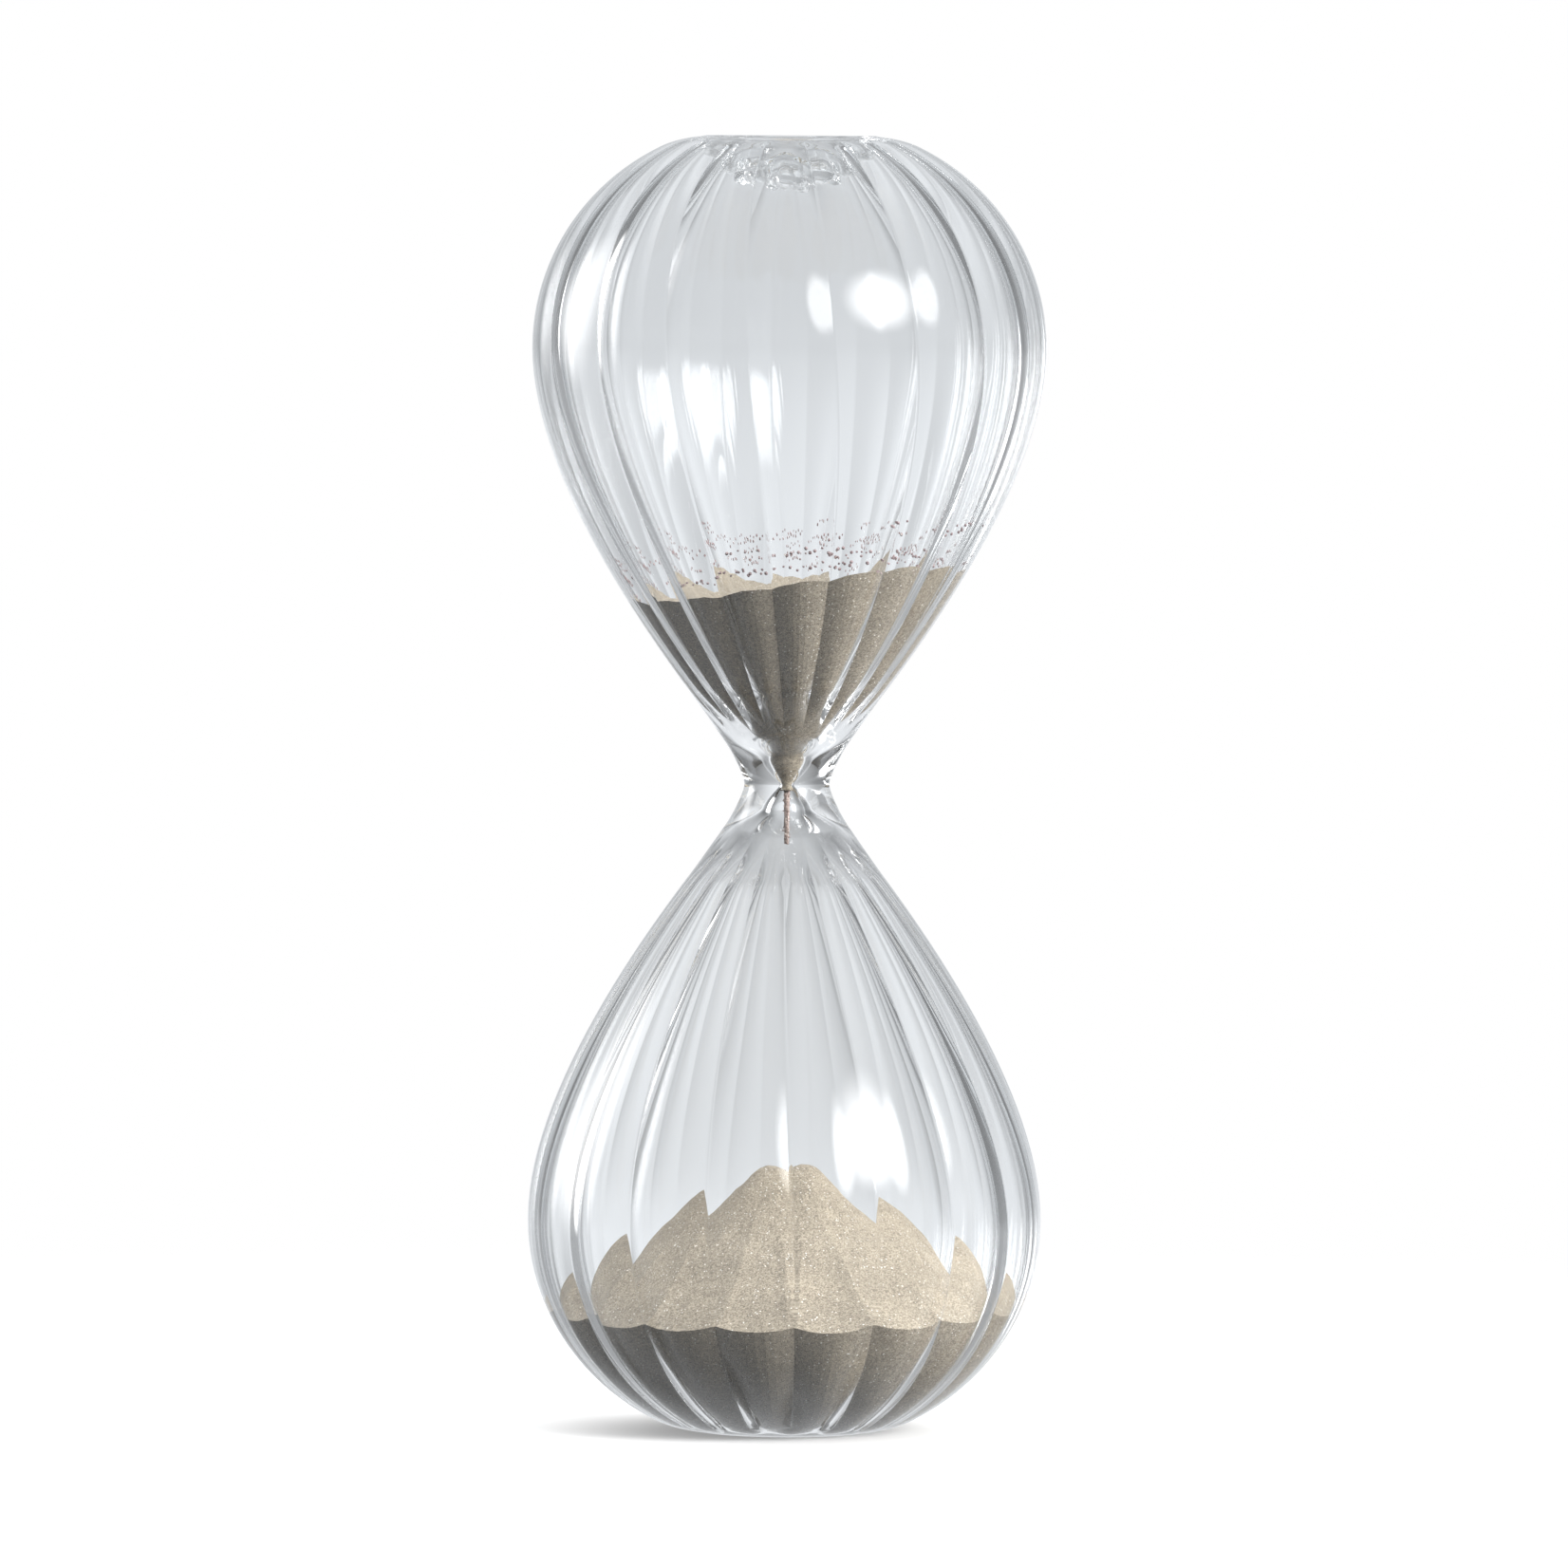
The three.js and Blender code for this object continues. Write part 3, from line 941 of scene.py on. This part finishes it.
def grain_rows():
    """The azimuth, rise and size of each grain."""
    for row in range(GRAIN_ROWS):
        azimuth = row_azimuth()
        climb = 0.9 + HIGHEST_ROW * chance.random() ** 1.6
        for place in range(chance.randrange(3, 11)):
            azimuth += chance.uniform(0.7, 1.7) / WALL_RADIUS
            lean = LEAN_X * math.cos(azimuth) + LEAN_Y * math.sin(azimuth)
            sand_line = RIM_RISE + WALL_RADIUS * lean
            yield azimuth, sand_line + climb + chance.gauss(0, 0.35), chance.uniform(0.2, 0.4)


wall_tree = BVHTree.FromObject(vessel, bpy.context.evaluated_depsgraph_get())
spots = [(wall_spot(wall_tree, *place), place[2]) for place in grain_rows()]
bpy.ops.object.select_all(action="DESELECT")
bpy.ops.mesh.primitive_ico_sphere_add(subdivisions=1, radius=spots[0][1] * MM, location=spots[0][0])
clinging = bpy.context.object
clinging.name = "clinging_grains"
bpy.ops.object.transform_apply(location=True, rotation=True, scale=True)
edit(clinging)
for spot, radius in spots[1:]:
    grain(spot, radius)
done()
print("clinging grains", len(spots))

# %% [markdown]
# ## Finishes, bodies and nodes
#
# Each piece takes its material, rides on the body that carries it, and stands for the plain solids of the
# frame. The vessel stands for both bulbs and the neck. The stream crosses the joint and rides on no body:
# its head stays in the orifice while its foot goes down to the heap.

# %% Give the pieces their finishes, bodies and nodes
def finish_piece(piece, look, body, slot, *nodes):
    """One material, one body, and the nodes that this piece stands for. The slot is not used."""
    piece.data.materials.clear()
    piece.data.materials.append(look)
    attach(piece, body)
    if nodes:
        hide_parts(*nodes)


finish_piece(vessel, glass, "glass", "clear_glass", "upper_bulb", "neck_orifice", "lower_bulb")
finish_piece(upper_seal, glass, "glass", "clear_glass", "upper_end_seal")
finish_piece(lower_seal, glass, "glass", "clear_glass", "lower_end_seal")
finish_piece(heap, dry_sand, "glass", "sand", "lower_sand")
finish_piece(supply, dry_sand, "glass", "sand", "upper_sand")
finish_piece(clinging, clinging_sand, "glass", "sand")
stream.data.materials.append(falling_sand)
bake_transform(stream)
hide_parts("sand_stream")
print("7 pieces finished")

# %% [markdown]
# ## Studio
#
# A plain pale floor that fades out into the white surroundings, so that no horizon shows. Only the camera
# sees it: its image in the walls of the glass would lay a grey veil over the sand.

# %% Floor
FLOOR_RADIUS = 0.7
FLOOR_FADE_START, FLOOR_FADE_END = 0.08, FLOOR_RADIUS * 0.7
FLOOR_LEVEL = -0.2 * MM
bpy.ops.object.select_all(action="DESELECT")
bpy.ops.mesh.primitive_circle_add(
    vertices=96,
    radius=FLOOR_RADIUS,
    fill_type="NGON",
    location=(0, 0, FLOOR_LEVEL),
)
floor = bpy.context.object
floor.name = "studio_floor"
made, nodes, links, shader, output = material("pale_floor")
shader.inputs["Base Color"].default_value = (0.85, 0.85, 0.85, 1)
shader.inputs["Roughness"].default_value = 0.9
shader.inputs["Emission Color"].default_value = (1, 1, 1, 1)
shader.inputs["Emission Strength"].default_value = 0.3
place = nodes.new("ShaderNodeTexCoord")
reach = nodes.new("ShaderNodeVectorMath")
reach.operation = "LENGTH"
links.new(place.outputs["Object"], reach.inputs[0])
fade = nodes.new("ShaderNodeMapRange")
fade.interpolation_type = "SMOOTHSTEP"
fade.inputs["From Min"].default_value = FLOOR_FADE_START
fade.inputs["From Max"].default_value = FLOOR_FADE_END
fade.inputs["To Min"].default_value = 1
fade.inputs["To Max"].default_value = 0
links.new(reach.outputs["Value"], fade.inputs["Value"])
links.new(fade.outputs["Result"], shader.inputs["Alpha"])
path = nodes.new("ShaderNodeLightPath")
nothing = nodes.new("ShaderNodeBsdfTransparent")
mix = nodes.new("ShaderNodeMixShader")
links.new(path.outputs["Diffuse Depth"], mix.inputs["Fac"])
links.new(shader.outputs["BSDF"], mix.inputs[1])
links.new(nothing.outputs["BSDF"], mix.inputs[2])
links.new(mix.outputs["Shader"], output.inputs["Surface"])
floor.data.materials.append(made)
floor.visible_glossy = False
floor.visible_transmission = False
print("floor radius", FLOOR_RADIUS)

# %% [markdown]
# A large soft key light stands to the right and in front, and makes the round highlights. A tall soft
# light at the left and behind draws the bright edge of the glass, and is kept off the sand. A third one at
# the right lights only the sand, from the side, which brings out its lobes and folds.

# %% Lights
def soften(lamp):
    """Fades an area light to nothing at its borders, as a softbox with an inner baffle does."""
    lamp.use_nodes = True
    nodes, links = lamp.node_tree.nodes, lamp.node_tree.links
    place = nodes.new("ShaderNodeNewGeometry")
    middle = nodes.new("ShaderNodeVectorMath")
    middle.operation = "DISTANCE"
    middle.inputs[1].default_value = (0.5, 0.5, 0)
    links.new(place.outputs["Parametric"], middle.inputs[0])
    fade = nodes.new("ShaderNodeMapRange")
    fade.interpolation_type = "SMOOTHSTEP"
    fade.inputs["From Min"].default_value = 0.5
    fade.inputs["From Max"].default_value = 0.08
    links.new(middle.outputs["Value"], fade.inputs["Value"])
    links.new(fade.outputs["Result"], nodes["Emission"].inputs["Strength"])


def soft_light(name, azimuth, elevation, distance, width, height, power):
    """An area light that faces the middle of the glass. Azimuth 0 is in front, more is to the right."""
    a, e = math.radians(azimuth), math.radians(elevation)
    toward = Vector((math.sin(a) * math.cos(e), -math.cos(a) * math.cos(e), math.sin(e)))
    lamp = bpy.data.lights.new(name, "AREA")
    lamp.shape = "RECTANGLE"
    lamp.size, lamp.size_y = width, height
    lamp.energy = power
    soften(lamp)
    holder = bpy.data.objects.new(name, lamp)
    holder.location = Vector((0, 0, NECK_HEIGHT)) + toward * distance
    holder.rotation_euler = toward.to_track_quat("Z", "Y").to_euler()
    bpy.context.scene.collection.objects.link(holder)
    return holder


soft_light("key_light", 43.5, 27, 1.4, 0.92, 0.85, 48)
edge_light = soft_light("edge_light", -112, 15, 1.5, 0.95, 1.45, 32)
edge_light.visible_diffuse = False
side_light = soft_light("side_light", 82, 6, 1.4, 0.9, 0.9, 78)
side_light.visible_glossy = False
side_light.visible_transmission = False
print("lights at the right, behind and at the side")

# %% [markdown]
# Clear glass has no look of its own: it shows its surroundings, bent. The camera sees plain white behind
# the glass, and rays that have met the glass see a soft grey sweep: palest low down and straight behind,
# darker where the ribs and edges bend the sight far to a side. Light on the sand comes mostly from above.
# Long paths are kept, because light turns many times inside a wall before it gets out.

# %% Surroundings
world = bpy.data.worlds.new("studio")
bpy.context.scene.world = world
world.use_nodes = True
world.cycles.sampling_method = "NONE"
nodes, links = world.node_tree.nodes, world.node_tree.links
nodes.clear()


def ranged(value, low, high, to_low, to_high):
    """A smooth change from to_low to to_high as value goes from low to high."""
    change = nodes.new("ShaderNodeMapRange")
    change.interpolation_type = "SMOOTHSTEP"
    for socket, number in (("From Min", low), ("From Max", high), ("To Min", to_low), ("To Max", to_high)):
        change.inputs[socket].default_value = number
    links.new(value, change.inputs["Value"])
    return change.outputs["Result"]


def calculated(operation, first, second=None):
    """The result of a Math node."""
    step = nodes.new("ShaderNodeMath")
    step.operation = operation
    links.new(first, step.inputs[0])
    if second is not None:
        links.new(second, step.inputs[1])
    return step.outputs[0]


def backdrop(colour, strength):
    """A Background node, at strength 1 if none is given."""
    made = nodes.new("ShaderNodeBackground")
    made.inputs["Color"].default_value = (*colour, 1)
    if strength is not None:
        links.new(strength, made.inputs["Strength"])
    return made.outputs[0]


def either(share, first, second):
    """The first at share 0, the second at share 1."""
    mix = nodes.new("ShaderNodeMixShader")
    links.new(share, mix.inputs["Fac"])
    links.new(first, mix.inputs[1])
    links.new(second, mix.inputs[2])
    return mix.outputs[0]


direction = nodes.new("ShaderNodeTexCoord")
split = nodes.new("ShaderNodeSeparateXYZ")
links.new(direction.outputs["Generated"], split.inputs[0])
up = split.outputs["Z"]
behind = ranged(split.outputs["Y"], 0.2, 0.5, 0.0, 1.0)
sideways = calculated("MULTIPLY", calculated("ABSOLUTE", split.outputs["X"]), behind)
low_part = ranged(up, -0.09, 0.0, 0.96, 0.72)
high_part = ranged(up, 0.0, 0.35, 1.0, 0.72)
side_part = ranged(sideways, 0.12, 0.6, 1.0, 0.42)
front_part = ranged(split.outputs["Y"], -0.25, 0.25, 0.8, 1.0)
from_behind = calculated("MULTIPLY", calculated("MULTIPLY", low_part, high_part), side_part)
seen_in_glass = calculated("MULTIPLY", from_behind, front_part)
on_sand = ranged(up, 0.2, 1.0, 0.03, 2.1)
path = nodes.new("ShaderNodeLightPath")
for_glass = backdrop((0.94, 0.968, 1.0), seen_in_glass)
for_sand = backdrop((1, 1, 1), on_sand)
lit = either(path.outputs["Diffuse Depth"], for_glass, for_sand)
out = nodes.new("ShaderNodeOutputWorld")
links.new(either(path.outputs["Is Camera Ray"], lit, backdrop((1, 1, 1), None)), out.inputs["Surface"])
bpy.context.scene.view_settings.view_transform = "Standard"
BOUNCES = 24
bpy.context.scene.cycles.max_bounces = BOUNCES
bpy.context.scene.cycles.transmission_bounces = BOUNCES
bpy.context.scene.cycles.glossy_bounces = BOUNCES
bpy.context.scene.cycles.transparent_max_bounces = BOUNCES
print("up to", BOUNCES, "bounces")

# %% [markdown]
# ## Camera
#
# A long lens from three metres, a little above the middle, as in catalogue work: the sides of the glass
# stay parallel, and the ends show only as thin ellipses. It is rolled by a third of a degree, as a tripod
# on an uneven floor is.

# %% Camera
DISTANCE = 3.0
CAMERA_HEIGHT = 0.256
ASIDE = -0.55 * MM
ROLL = math.radians(0.35)
SENSOR_WIDTH, FOCAL_LENGTH = 36, 357
FARTHEST = 100
lens = bpy.data.cameras.new("camera")
lens.sensor_width = SENSOR_WIDTH
lens.lens = FOCAL_LENGTH
lens.clip_end = FARTHEST
camera = bpy.data.objects.new("camera", lens)
camera.location = (0, -DISTANCE, CAMERA_HEIGHT)
aim = Vector((ASIDE, 0, NECK_HEIGHT)) - camera.location
camera.rotation_mode = "QUATERNION"
camera.rotation_quaternion = aim.to_track_quat("-Z", "Y") @ Quaternion((0, 0, 1), ROLL)
bpy.context.scene.collection.objects.link(camera)
bpy.context.scene.camera = camera
print("camera", DISTANCE, "m away with a lens of", FOCAL_LENGTH, "mm")
